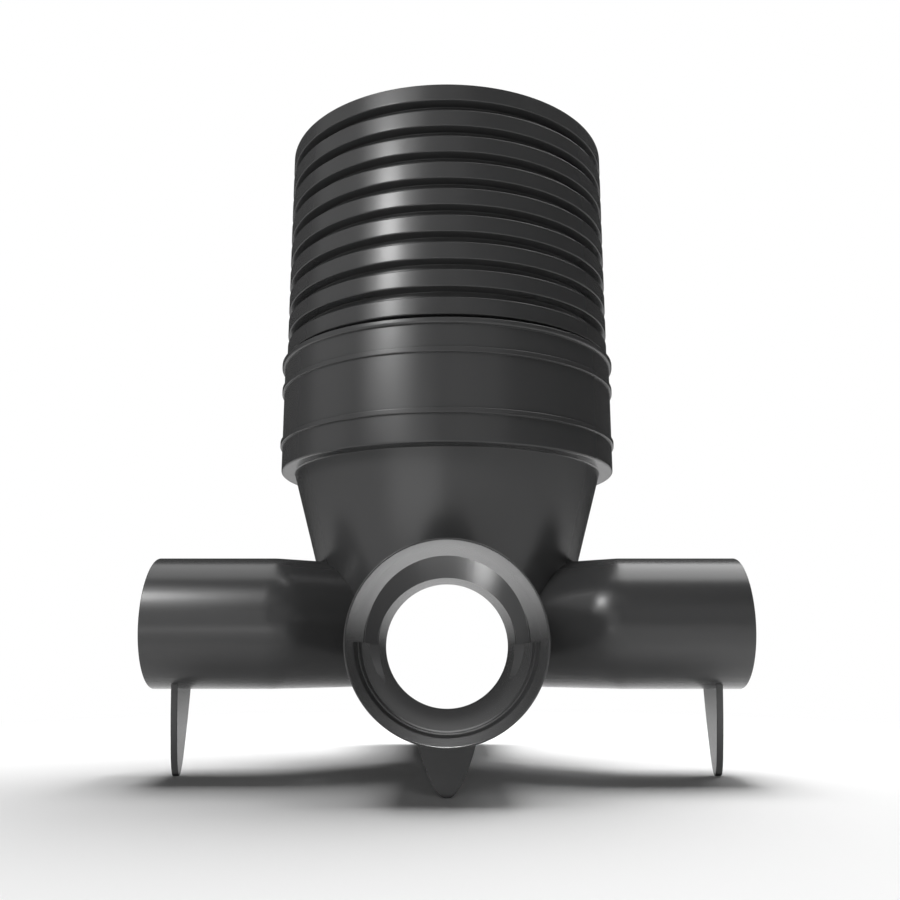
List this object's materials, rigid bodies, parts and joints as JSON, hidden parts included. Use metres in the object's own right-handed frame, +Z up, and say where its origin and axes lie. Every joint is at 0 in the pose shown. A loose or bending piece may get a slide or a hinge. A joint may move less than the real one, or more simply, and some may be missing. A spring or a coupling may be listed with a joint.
{
  "type": "drain inspection chamber",
  "caption": "Plastic drain inspection chamber: ribbed riser in a collar on a cone, with a straight main run, half-pipe channel, turned side inlets and fin feet.",
  "frame": {"origin": "on the ground under the riser's axis", "axes": "+Z up along the riser, Y along the main run with the outlet towards +Y, X across through the side inlets' mouths"},
  "size_m": [0.676, 0.588, 0.8003],
  "materials": {
    "base_plastic": "satin black polypropylene",
    "riser_plastic": "satin black polypropylene",
    "seal_rubber": "matte black rubber"
  },
  "bodies": {
    "root": {"chamber_base": "base_plastic", "riser_pipe": "riser_plastic", "riser_seal": "seal_rubber"}
  },
  "joints": []
}
